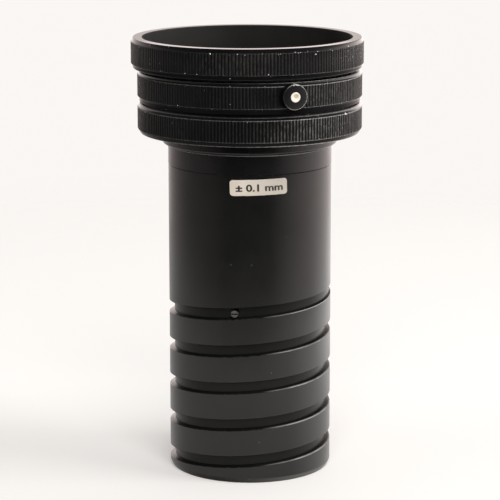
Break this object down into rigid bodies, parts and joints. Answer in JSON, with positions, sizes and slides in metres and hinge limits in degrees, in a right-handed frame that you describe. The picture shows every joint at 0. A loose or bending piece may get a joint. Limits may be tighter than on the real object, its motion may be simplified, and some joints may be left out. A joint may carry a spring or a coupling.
{
  "type": "long-focus lens with helical-groove barrel",
  "caption": "Long-focus lens in a plain black barrel with a helical drive groove, knurled head rings, a focusing front group and a thumb screw that locks the focus.",
  "frame": {"origin": "centre of the rear face, where the optical axis leaves the barrel", "axes": "+Z along the optical axis towards the front ring, -Y towards the side with the label and the lock screw, +X to the right seen from there"},
  "size_m": [0.0744, 0.0751, 0.1406],
  "materials": {
    "barrel_black": "semi-matt black anodising",
    "ring_black": "satin black anodising, knurled",
    "inside_black": "matt black inside finish",
    "knob_black": "satin black, knurled edge",
    "dark_steel": "blackened steel",
    "bright_steel": "bright turned screw end",
    "brass_plain": "plain turned brass",
    "spring_steel": "spring steel",
    "washer_dark": "dark low-friction plastic",
    "label_film": "pale satin label film",
    "coated_glass": "coated optical glass"
  },
  "bodies": {
    "fixed_barrel": {"main_barrel": "barrel_black", "stop_screw": "dark_steel", "aperture_stop": "inside_black", "barrel_label": "label_film", "head_housing": "ring_black", "inner_element": "coated_glass", "inner_retaining_ring": "inside_black", "rear_cell": "inside_black", "rear_element": "coated_glass", "rear_retaining_ring": "inside_black", "bearing_washer": "washer_dark", "retaining_circlip": "spring_steel"},
    "turning_ring": {"focus_ring": "ring_black"},
    "front_group": {"front_cell": "inside_black", "cam_pins": "brass_plain", "front_ring": "ring_black", "front_ring_nut": "inside_black", "second_element": "coated_glass", "element_spacer": "inside_black", "front_element": "coated_glass", "front_element_retainer": "inside_black"},
    "sliding_pad": {"lock_pad": "brass_plain"},
    "lock_screw": {"lock_screw_knob": "knob_black", "lock_screw_stud": "bright_steel"}
  },
  "joints": [
    {"name": "focus_ring_turn", "type": "hinge", "parent": "fixed_barrel", "child": "turning_ring", "pos_m": [0, 0, 0.1252], "axis": [0, 0, 1], "range_deg": [0, 100]},
    {"name": "front_group_slide", "type": "slide", "parent": "fixed_barrel", "child": "front_group", "axis": [0, 0, 1], "range_m": [0, 0.005]},
    {"name": "lock_pad_slide", "type": "slide", "parent": "turning_ring", "child": "sliding_pad", "axis": [0.3567, -0.9342, 0], "range_m": [0, 0.00075]},
    {"name": "lock_screw_turn", "type": "hinge", "parent": "sliding_pad", "child": "lock_screw", "pos_m": [0.01398, -0.03662, 0.12595], "axis": [0.3567, -0.9342, 0], "range_deg": [0, 540]}
  ],
  "couplings": [
    {"joint": "focus_ring_turn", "follows": "front_group_slide", "rad_per_m": 349.06},
    {"joint": "lock_screw_turn", "follows": "lock_pad_slide", "rad_per_m": 12566}
  ]
}
